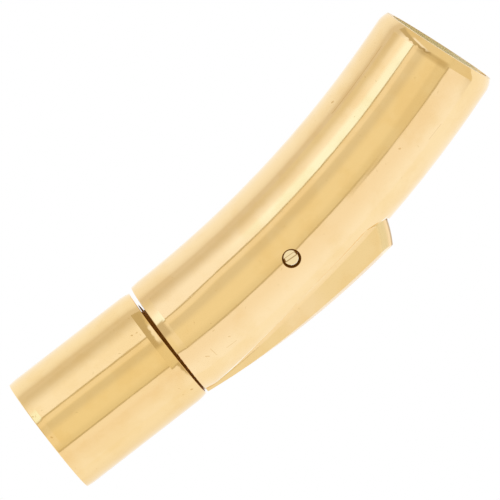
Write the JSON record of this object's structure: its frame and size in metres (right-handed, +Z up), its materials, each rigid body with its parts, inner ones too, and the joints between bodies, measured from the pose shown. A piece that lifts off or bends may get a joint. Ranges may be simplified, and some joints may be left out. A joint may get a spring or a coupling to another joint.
{
  "type": "cord clasp",
  "caption": "Curved tube clasp for a round cord, shown fastened: a cup and its hidden stem held by a hooked trigger that turns on a cross pin.",
  "frame": {"origin": "centre of the base of the overall box, with the clasp lying on its side", "axes": "+X along the plug and its stem, from the plug towards the tube's cord end; +Y away from the lever, towards the inside of the bend; +Z up from the surface that the clasp lies on"},
  "size_m": [0.0308, 0.0106, 0.007],
  "materials": {
    "tube_gold": "polished, gold-coloured plating",
    "plug_gold": "polished, gold-coloured plating",
    "lever_gold": "polished, gold-coloured plating",
    "pin_gold": "polished, gold-coloured plating"
  },
  "bodies": {
    "body": {"tube": "tube_gold", "plug": "plug_gold", "pivot_pin": "pin_gold"},
    "lever": {"lever": "lever_gold"}
  },
  "joints": [
    {"name": "lever_press", "type": "hinge", "parent": "body", "child": "lever", "pos_m": [0.00103, -0.00181, 0.0035], "axis": [0, 0, 1], "range_deg": [0, 11], "stiffness_Nm_per_rad": 0.05, "springref_deg": -11.46}
  ]
}
